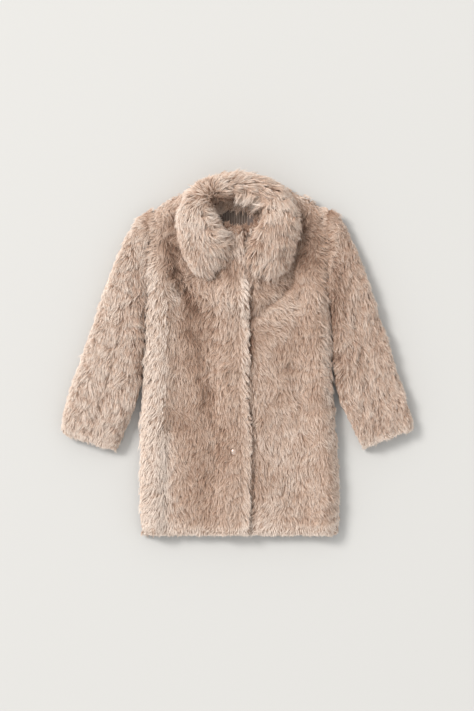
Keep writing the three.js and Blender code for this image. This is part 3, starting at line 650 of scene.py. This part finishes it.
def sleeve_tone(p, u, v):
    """Painted shade in the groove beside the body, and browner towards it; painted shade over the sleeve on the
    wearer's left, away from the lamp, most near the body; paler at the outer edge.
    """
    side = np.where(p[:, 0] < 0, -1.0, 1.0)
    away = np.abs(p[:, 0] - side_edge(side, p[:, 1]))
    fade = smooth((0.9 - v) / 0.3)
    groove = 2.6 * np.exp(-((away / 15) ** 2)) + 0.9 * np.exp(-((away / 45) ** 2))
    cap = smooth((v - 0.06) / 0.14)
    shaded = 1.3 * (side > 0) * np.exp(-((away / 34) ** 2)) * smooth((0.5 - v) / 0.3)
    outer = smooth((u - 0.7) / 0.2)
    # 2.0 less 1.7 on the wearer's left: painted shade on the sleeve away from the lamp
    return 2.0 - 1.7 * (side > 0) + 1.6 * outer - shaded - fade * mix(0.3, 1, cap) * groove + hem_tone(1 - v)


def cap_tone(p, u, v):
    """Browner on the wearer's left, where the cap lies in the shade of the collar."""
    return np.where(p[:, 0] < 0, 0.2, -1.4)


def collar_tone(p, u, v):
    """Paler than the body; painted shade on the roll's inner side in the neck and in the neck opening at the back;
    browner at the top left, where the pile is parted.
    """
    parting = np.exp(-((np.hypot(p[:, 0] + 56, p[:, 1] - 258) / 22) ** 2))
    # painted shade on the roll's inner side, deepest towards the back of the neck
    inside = smooth((0.46 - u) / 0.22) * (1.0 + 2.4 * np.exp(-(((v - 0.43) / 0.11) ** 2)))
    painted_hollow_shade = np.exp(-((np.hypot(p[:, 0] + 42, p[:, 1] - 204) / 14) ** 2))
    return 1.1 - 0.8 * smooth((v - 0.3) / 0.2) - inside - 0.5 * parting - 1.8 * painted_hollow_shade


def rim_tone(p, u, v):
    return 3.0


def panel_trim(u, v):
    """Shorter at the hem, at the top edge and where the side turns down."""
    top = smooth((v - 0.92) / 0.06) * smooth((0.7 - np.abs(u)) / 0.15)
    ends = mix(0.5, 1, smooth(v / 0.05)) * mix(1, 0.5, top)
    return ends * mix(1, 0.68, smooth((np.abs(u) - 0.7) / 0.2))


def sleeve_trim(u, v):
    """Shorter at the cuff and along both edges."""
    edge = np.abs(np.cos(mix(-0.35, np.pi + 0.35, u)))
    return mix(0.55, 1, smooth((1 - v) / 0.09)) * mix(1, 0.6, smooth((edge - 0.72) / 0.2))


SLEEVE_PILE = dict(strands=3, length=15.5, spread=2.5, width=0.92, lift=26, meet=0.55, curl=0.1, own_normal=1.05,
                   sway=0.9, contrast=2.3, cloud=0.5, sleek=lambda p: np.full(len(p), 0.35))


def sleeve_patch(table, flip):
    """Pile round a sleeve but for its underside."""
    def face(u, v):
        return sleeve(table, mix(-0.35, np.pi + 0.35, u), np.clip(v, 0, 1) * 0.985)
    def cuff(u, v):
        a = mix(-0.35, np.pi + 0.35, u)
        one = np.full_like(u, 0.985)
        return mix(sleeve(table, a, one, depth=SHELL_INNER), sleeve(table, a, one), np.clip(v, 0.05, 1)[..., None])
    down = unit(np.array([[table["outer_x"][-1] - table["outer_x"][5], table["outer_y"][-1] - table["outer_y"][5], 0.0]]))
    def cap(u, v):
        return face(mix(0.12, 0.88, u), 0.09 * v)
    def shoulder(u, v):
        return face(mix(0.55, 0.9, u), 0.05 * v)
    def comb_back(p, n, pu, pv, u, v):
        return np.stack([-np.sign(p[:, 0]), np.full(len(p), -0.15), np.zeros(len(p))], -1)
    return [
        dict(face=shoulder, count=170, comb=comb_back, flip=flip, tone=lambda p, u, v: -0.3, strands=3, length=10,
             meet=0.9, spread=3.0, width=0.92, lift=24, light=0.8, sway=0.8),
        dict(face=face, count=7000, comb=comb_sleeve, flip=flip, tone=sleeve_tone, trim=sleeve_trim, **SLEEVE_PILE),
        dict(face=cap, count=520, comb=comb_sleeve, flip=flip, tone=cap_tone, strands=3, length=13, meet=0.9,
             spread=3.0, width=0.92, lift=30, light=0.5, sway=0.6),
        dict(face=cuff, count=280, comb=lambda p, n, pu, pv, u, v: down + [0, 0, -0.3] + 0 * n, length=9,
             flip=not flip, lift=50, tone=rim_tone, light=0.6),
    ]


BODY = dict(count=8500, strands=3, length=14.5, spread=2.8, width=0.88, lift=22, meet=0.7, sway=1.1, curl=0.1,
            own_normal=0.65)


def collar_trim(u, v):
    """Shorter at the outer edge but for the leaves' ends, and where the lining shows."""
    outer = smooth((u - 0.55) / 0.3) * smooth((v - 0.04) / 0.1) * smooth((0.96 - v) / 0.1)
    over_lining = smooth((0.34 - u) / 0.12) * smooth((v - 0.68) / 0.05) * smooth((0.9 - v) / 0.05)
    return mix(1, 0.5, outer) * mix(1, 0.5, over_lining)


def collar_roll(u, v):
    return collar(u, mix(0.015, 0.985, v))


def leaf_end(n):
    """The end face of the roll's wall, u across the roll and v from the inner to the outer face."""
    def face(u, v):
        end = np.full_like(u, n)
        return mix(collar(u, end, depth=COLLAR_WALL - 1.5), collar(u, end), np.clip(v, 0.05, 1)[..., None])
    return face


def under_roll(u, v):
    """Where the roll's inner side ends at the back of the neck, above the lining."""
    return np.stack([mix(-42, 36, u), mix(239, 256, v) - 60 * (u - 0.5) ** 2, np.full_like(u, 13.0)], -1)


def inside_roll(first, last):
    """The roll's inner side, over a stretch of its length."""
    return lambda u, v: collar(mix(0.1, 0.42, u), mix(first, last, v))


def beside_lap(u, v):
    """The left front's strip beside the lap's edge, below the collar."""
    return front_left(mix(0.185, 0.26, u), mix(0.77, 0.9, v))


def beside_armhole(u, v):
    """The left front's edge beside the sleeve, where its locks stand out over the gap."""
    return front_left(mix(0.77, 0.93, u), mix(0.44, 0.72, v))


def comb_out_left(p, n, pu, pv, u, v):
    return np.tile([0.6, -0.85, -0.1], (len(p), 1))


def armhole_edge(face, side):
    """The part of a front that turns down at its side, from hem to shoulder."""
    return lambda u, v: face(side * mix(0.7, 0.97, u), mix(0.02, 0.965, v))


def comb_over(side):
    """Outwards over the groove beside the sleeve and down, near the shoulder more level."""
    def comb(p, n, pu, pv, u, v):
        level = smooth((p[:, 1] - 90) / 70)
        return np.stack([side * mix(0.5, 1.0, level), mix(-1.0, -0.6, level), np.full(len(p), -0.2)], -1)
    return comb


def above_gap(p, u, v):
    return p[:, 1] > 100


def neckline(face, side):
    """A front's top edge round the neck."""
    return lambda u, v: face(side * mix(0.02, 0.42, u), mix(0.945, 0.995, v))


def comb_up(p, n, pu, pv, u, v):
    return unit(np.array([14.0, 330.0, 30.0]) - p)


def overhang_trim(u, v):
    return mix(0.45, 1, smooth(v / 0.08)) * mix(1, 0.7, smooth((v - 0.9) / 0.08))


def sleek_right_front(p):
    """Most along the side and the lap's edge; ruffled (below 0) in the trough."""
    x, y = p[:, 0], p[:, 1]
    side = smooth((side_edge(np.full_like(y, -1.0), y) + 56 - x) / 44) * smooth((200 - y) / 60)
    trough = np.exp(-((np.hypot(x + 90, (y - 140) / 2.2) / 27) ** 2))
    lap = smooth((x - lap_edge(y) + 22) / 8) * smooth((150 - y) / 30)
    return np.clip(side + lap + 0.4 - 2.0 * trough, -1.3, 1)


def sleek_left_front(p):
    """Most along the side; ruffled (below 0) beside the collar."""
    side = smooth((p[:, 0] - side_edge(np.ones(len(p)), p[:, 1]) + 30) / 20)
    beside_collar = np.exp(-((np.hypot(p[:, 0] - 108, p[:, 1] - 200) / 38) ** 2))
    return 0.25 + 0.4 * side - 1.3 * beside_collar


OVERHANG = dict(strands=3, length=16, spread=3.4, width=0.95, lift=24, meet=0.95, light=0.75, trim=overhang_trim,
                sleek=lambda p: np.full(len(p), 0.7))
NECKLINE = dict(count=200, strands=4, length=8, spread=2.6, width=0.85, lift=40, comb=comb_up, sway=1.5, light=0.4)

fur_of = {
    "front_right": fur("front_right_pile", [
        dict(face=front_right, comb=comb_right_front, flip=True, keep=clear_of_snap, tone=right_front_tone,
             trim=panel_trim, sleek=sleek_right_front, **BODY),
        dict(face=rim(front_right, b=0.0), count=320, comb=comb_down_y, length=6.5, flip=True, lift=50, tone=rim_tone,
             light=0.6),
        dict(face=rim(front_right, c=0.0), count=300, comb=comb_lap_rim, length=7, flip=False, lift=40,
             tone=lambda p, u, v: 1.4, light=0.5),
        # pale: painted light on the side that faces the lamp, fading towards the shoulder
        dict(face=armhole_edge(front_right, 1), count=1000, comb=comb_over(-1), flip=True,
             tone=lambda p, u, v: 3.4 - 3.4 * smooth((p[:, 1] - 130) / 60), **OVERHANG),
        # darker: painted shade on the neckline's pile inside the neck
        dict(face=neckline(front_right, 1), flip=True, tone=lambda p, u, v: -4.0, **NECKLINE),
    ], 101),
    "front_left": fur("front_left_pile", [
        dict(face=front_left, comb=comb_left_front, tone=left_front_tone, trim=panel_trim, sleek=sleek_left_front,
             keep=lambda p, u, v: p[:, 0] > lap_edge(p[:, 1]) - 2, **BODY),
        dict(face=rim(front_left, b=0.0), count=320, comb=comb_down_y, length=6.5, flip=False, lift=50, tone=rim_tone,
             light=0.6),
        # darker: painted shade on the side away from the lamp
        dict(face=armhole_edge(front_left, 1), count=1080, comb=comb_over(1), keep=above_gap,
             tone=lambda p, u, v: -1.8, **OVERHANG),
        # darker: painted shade on the neckline's pile inside the neck
        dict(face=neckline(front_left, 1), tone=lambda p, u, v: -3.6, **NECKLINE),
        dict(face=beside_lap, count=260, strands=3, comb=comb_left_front, length=17, lift=58, spread=2.8, width=0.9,
             meet=0.8, light=0.7, tone=lambda p, u, v: 0.3),
        dict(face=beside_armhole, count=260, strands=3, comb=comb_out_left, length=14, lift=30, spread=2.8,
             width=0.92, light=0.3, sway=0.9, tone=lambda p, u, v: 1.2),
    ], 202),
    "sleeve_right": fur("sleeve_right_pile", sleeve_patch(SLEEVE_RIGHT, False), 303),
    "sleeve_left": fur("sleeve_left_pile", sleeve_patch(SLEEVE_LEFT, True), 404),
    "collar": fur("collar_pile", [
        dict(face=collar_roll, count=6750, strands=4, comb=comb_collar, length=18, lift=28, spread=2.3, width=1.15,
             flip=True, tone=collar_tone, trim=collar_trim, own_normal=0.8, contrast=1.3),
        dict(face=inside_roll(0.50, 0.68), count=420, strands=4, comb=comb_into_neck, length=24, lift=38,
             spread=3.4, width=1.15, flip=True, sway=1.0, light=0.4, tone=lambda p, u, v: 1.1),
        dict(face=lambda u, v: collar(mix(0.0, 0.2, u), mix(0.6, 0.9, v)), count=160, strands=4, comb=comb_into_neck,
             length=7, lift=25, spread=2.6, width=1.0, flip=True, sway=1.0, tone=lambda p, u, v: -0.4),
        dict(face=leaf_end(0.015), count=100, strands=4, comb=comb_down_y, length=10, lift=40, flip=True, light=0.6,
             width=1.0, tone=lambda p, u, v: 0.6),
        dict(face=leaf_end(0.985), count=100, strands=4, comb=comb_down_y, length=10, lift=40, flip=False, light=0.6,
             width=1.0, tone=lambda p, u, v: 0.6),
        # painted shade under the roll, deepest towards the wearer's left
        dict(face=under_roll, count=300, strands=4, comb=comb_down_y, length=13, lift=22, spread=2.6, width=1.0,
             flip=False, sway=1.5, tone=lambda p, u, v: mix(-0.4, -1.6, smooth((p[:, 0] + 34) / 24))),
        dict(face=inside_roll(0.08, 0.31), count=330, strands=4, comb=comb_into_neck, length=19, lift=40,
             spread=2.6, width=1.1, flip=True, sway=1.2, light=0.3, tone=lambda p, u, v: 1.2),
    ], 505),
}


def edges_of_back(u, v):
    """The back's turned-up sides: u from the flat to the seam on both sides, v from hem to shoulder."""
    c = np.where(u < 0.5, -1.0, 1.0) * mix(FLAT_C + 0.05, 1, np.abs(2 * u - 1))
    return back(c, np.clip(v, 0, 1))


def top_of_back(u, v):
    """The back's turned-up top edge, from shoulder to shoulder."""
    return back(mix(-0.98, 0.98, u), mix(FLAT_B + 0.01, 1, v))


def both_halves(u, b, **kw):
    return back(2 * u - 1, b, **kw)


fur_of["back"] = fur("back_pile", [
    dict(face=edges_of_back, count=1500, comb=lambda p, n, pu, pv, u, v: n * [1, 0, 0] * 0.3 + [0, -1, 0.0],
         length=9, lift=20, flip=True, light=0.65),
    dict(face=top_of_back, count=420, comb=lambda p, n, pu, pv, u, v: np.tile([0.0, 0.1, -1.0], (len(p), 1)),
         length=8, lift=30, flip=True, light=0.65),
    dict(face=rim(both_halves, b=0.0), count=520, comb=comb_down_y, length=7, lift=60, flip=True, tone=rim_tone,
         light=0.7),
], 606)


# Materials
def group(name, inputs, output, build):
    """A node group with named inputs and one output; build(nodes, links, inputs) returns the output socket."""
    g = bpy.data.node_groups.new(name, "ShaderNodeTree")
    for key, kind, value in inputs:
        s = g.interface.new_socket(name=key, in_out="INPUT", socket_type=kind)
        s.default_value = value
    g.interface.new_socket(name=output[0], in_out="OUTPUT", socket_type=output[1])
    start, end = g.nodes.new("NodeGroupInput"), g.nodes.new("NodeGroupOutput")
    g.links.new(build(g, start.outputs), end.inputs[output[0]])
    return g


def node(tree, kind, **values):
    """A node with its properties and input values set; a socket as a value is linked."""
    made = tree.nodes.new(kind)
    for key, value in values.items():
        if key.startswith("_"):
            setattr(made, key[1:], value)
            continue
        socket = made.inputs[int(key[1:])] if key[0] == "i" and key[1:].isdigit() else made.inputs[key.replace("_", " ")]
        if isinstance(value, bpy.types.NodeSocket):
            tree.links.new(value, socket)
        else:
            socket.default_value = value
    return made


def build_pile_colour(g, inputs):
    """Along the lock from the reddish brown ground to the creamy tip; random variation together with painted light
    and shade shifts the place on that ramp.
    """
    place = node(g, "ShaderNodeMath", _operation="MULTIPLY_ADD", i0=inputs["Tone"], i1=0.11, i2=inputs["Along"])
    ramp = node(g, "ShaderNodeValToRGB", Fac=place.outputs[0])
    stops = [(0.0, (0.235, 0.135, 0.09, 1)), (0.35, (0.48, 0.318, 0.235, 1)), (0.7, (0.70, 0.53, 0.425, 1)), (1.0, (0.89, 0.76, 0.665, 1))]
    for i, (at, colour) in enumerate(stops):
        e = ramp.color_ramp.elements[i] if i < 2 else ramp.color_ramp.elements.new(at)
        e.position, e.color = at, colour
    return ramp.outputs["Color"]


pile_colour = group("pile_colour", [("Along", "NodeSocketFloat", 0.5), ("Tone", "NodeSocketFloat", 0.0)],
                    ("Colour", "NodeSocketColor"), build_pile_colour)


def material(name, **values):
    m = bpy.data.materials.new(name)
    m.use_nodes = True
    shader = m.node_tree.nodes["Principled BSDF"]
    for key, value in values.items():
        shader.inputs[key.replace("_", " ")].default_value = value
    return m, m.node_tree, shader


def attribute(tree, name):
    return node(tree, "ShaderNodeAttribute", _attribute_name=name).outputs["Fac"]


pile, tree, shader = material("pile", Roughness=0.78, Sheen_Weight=0.22, Sheen_Roughness=0.45,
                              Sheen_Tint=(1.0, 0.9, 0.82, 1), Specular_IOR_Level=0.2)
colour = node(tree, "ShaderNodeGroup", _node_tree=pile_colour, Along=attribute(tree, "along"), Tone=attribute(tree, "tone"))
tree.links.new(colour.outputs[0], shader.inputs["Base Color"])

ground, tree, shader = material("pile_ground", Roughness=0.95, Sheen_Weight=0.2)
place = node(tree, "ShaderNodeTexCoord").outputs["Object"]
streak = node(tree, "ShaderNodeMapping", Vector=place, Scale=(420, 130, 420)).outputs[0]
noise = node(tree, "ShaderNodeTexNoise", Vector=streak, Scale=1.0, Detail=3.0).outputs["Fac"]
level = node(tree, "ShaderNodeMapRange", Value=noise, i1=0.3, i2=0.7, i3=0.38, i4=0.62).outputs[0]
colour = node(tree, "ShaderNodeGroup", _node_tree=pile_colour, Along=level)
tree.links.new(colour.outputs[0], shader.inputs["Base Color"])
bump = node(tree, "ShaderNodeBump", Height=noise, Strength=0.8, Distance=0.002)
tree.links.new(bump.outputs[0], shader.inputs["Normal"])

satin, tree, shader = material("lining_satin", Roughness=0.42, Sheen_Weight=0.15, Specular_IOR_Level=0.45)
place = node(tree, "ShaderNodeTexCoord").outputs["Object"]
thread = node(tree, "ShaderNodeTexWave", Vector=place, Scale=900.0, Distortion=0.6, _bands_direction="DIAGONAL").outputs["Fac"]
cloud = node(tree, "ShaderNodeTexNoise", Vector=place, Scale=38.0, Detail=2.0).outputs["Fac"]
tint = node(tree, "ShaderNodeValToRGB", Fac=cloud)
tint.color_ramp.elements[0].color = (0.17, 0.13, 0.115, 1)
tint.color_ramp.elements[1].color = (0.24, 0.19, 0.17, 1)
split = node(tree, "ShaderNodeSeparateXYZ", Vector=place)
turns = node(tree, "ShaderNodeMath", _operation="MULTIPLY", i0=split.outputs["X"], i1=2 * np.pi / 0.0042)
crest = node(tree, "ShaderNodeMath", _operation="SINE", i0=turns.outputs[0])
ribbed = node(tree, "ShaderNodeMapRange", Value=split.outputs["X"], i1=0.0195, i2=0.0175, i3=0.0, i4=1.0)
# painted highlight on the crests of the ribs and painted shade between them, at the ribs' own 4.2 mm spacing
light = node(tree, "ShaderNodeMapRange", Value=crest.outputs[0], i1=0.4, i2=1.0, i3=0.0, i4=1.0)
rib_light_and_shade = node(tree, "ShaderNodeMix", _data_type="RGBA", Factor=light.outputs[0])
rib_light_and_shade.inputs[6].default_value, rib_light_and_shade.inputs[7].default_value = (0.125, 0.088, 0.068, 1), (0.25, 0.195, 0.158, 1)
both = node(tree, "ShaderNodeMix", _data_type="RGBA", Factor=ribbed.outputs[0], i6=tint.outputs["Color"], i7=rib_light_and_shade.outputs[2])
tree.links.new(both.outputs[2], shader.inputs["Base Color"])
bump = node(tree, "ShaderNodeBump", Height=thread, Strength=0.25, Distance=0.0003)
tree.links.new(bump.outputs[0], shader.inputs["Normal"])

metal, tree, shader = material("snap_metal", Metallic=1.0, Roughness=0.24)
place = node(tree, "ShaderNodeTexCoord").outputs["Object"]
wear = node(tree, "ShaderNodeTexNoise", Vector=place, Scale=600.0, Detail=3.0).outputs["Fac"]
tint = node(tree, "ShaderNodeValToRGB", Fac=wear)
tint.color_ramp.elements[0].color = (0.62, 0.46, 0.38, 1)
tint.color_ramp.elements[1].color = (0.80, 0.65, 0.57, 1)
tree.links.new(tint.outputs["Color"], shader.inputs["Base Color"])
rough = node(tree, "ShaderNodeMapRange", Value=wear, i3=0.16, i4=0.34).outputs[0]
tree.links.new(rough, shader.inputs["Roughness"])


# Pieces on the frame
for name, obj in cloth.items():
    obj.data.materials.append(ground)
    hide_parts(name)
    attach(obj, "root")
    hair = fur_of[name]
    hair.data.materials.append(pile)
    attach(hair, "root")


LINING_SEAM_X = 19.0


def lining_face(u, v, z):
    """A patch whose edge is rounded: u and v from -1 to 1 are squeezed to a disc. Ribs sin(2 pi x / 4.2)
    run up it on one side of a raised seam, soft ripples on the other."""
    x = mix(-52, 58, (u * np.sqrt(1 - v * v / 2) + 1) / 2)
    y = mix(160, 240, (v * np.sqrt(1 - u * u / 2) + 1) / 2)
    ribbed = smooth((LINING_SEAM_X - x) / 3)
    ribs = 0.35 * np.sin(2 * np.pi * x / 4.2)
    soft = 0.35 * np.sin(x / 6.5 + 0.04 * y) + 0.2 * np.sin(x / 3.1 - y / 17)
    seam = 0.9 * np.exp(-(((x - LINING_SEAM_X) / 1.1) ** 2))
    return np.stack([x, y, z + mix(soft, ribs, ribbed) + seam], -1)


u, v = np.meshgrid(np.linspace(-1, 1, 120), np.linspace(-1, 1, 16))
lining = shell("neck_lining_satin", lining_face(u, v, 10.6), lining_face(u, v, 9.9))
lining.data.materials.append(satin)
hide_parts("neck_lining")
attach(lining, "root")
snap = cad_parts["snap"]
snap.data.materials.clear()
snap.data.materials.append(metal)

# Surface, light and camera
floor = make_mesh("floor", np.array([[-4000, -4000, -0.3], [4000, -4000, -0.3], [4000, 4000, -0.3], [-4000, 4000, -0.3]]),
                  np.array([[0, 1, 2], [0, 2, 3]]), smooth_faces=False)
paper, tree, shader = material("paper", Roughness=0.9, Base_Color=(0.572, 0.572, 0.562, 1))
floor.data.materials.append(paper)

scene = bpy.context.scene
world = bpy.data.worlds.new("world")
scene.world = world
world.use_nodes = True
world.node_tree.nodes["Background"].inputs["Color"].default_value = (1.0, 0.99, 0.97, 1)
world.node_tree.nodes["Background"].inputs["Strength"].default_value = 0.88


def area_light(name, place, size, power, colour):
    """A square light that faces the coat."""
    data = bpy.data.lights.new(name, "AREA")
    data.size, data.energy, data.color = size, power, colour
    obj = bpy.data.objects.new(name, data)
    obj.location = place
    obj.rotation_euler = (-obj.location).to_track_quat("-Z", "Y").to_euler()
    scene.collection.objects.link(obj)


area_light("key", (-7.6, 5.4, 10.5), 4.0, 1480, (1.0, 0.97, 0.94))

DISTANCE, MM_PER_PIXEL, FRAME_HEIGHT = 4.0, 1.6, 711
data = bpy.data.cameras.new("camera")
data.sensor_fit, data.sensor_height = "VERTICAL", 24.0
data.lens = 24.0 * (DISTANCE - 0.03) / (MM_PER_PIXEL * MM * FRAME_HEIGHT)
data.clip_end = 50
camera = bpy.data.objects.new("camera", data)
camera.location = (0.0008, -0.0016, DISTANCE)
scene.collection.objects.link(camera)
scene.camera = camera
scene.view_settings.view_transform = "Standard"
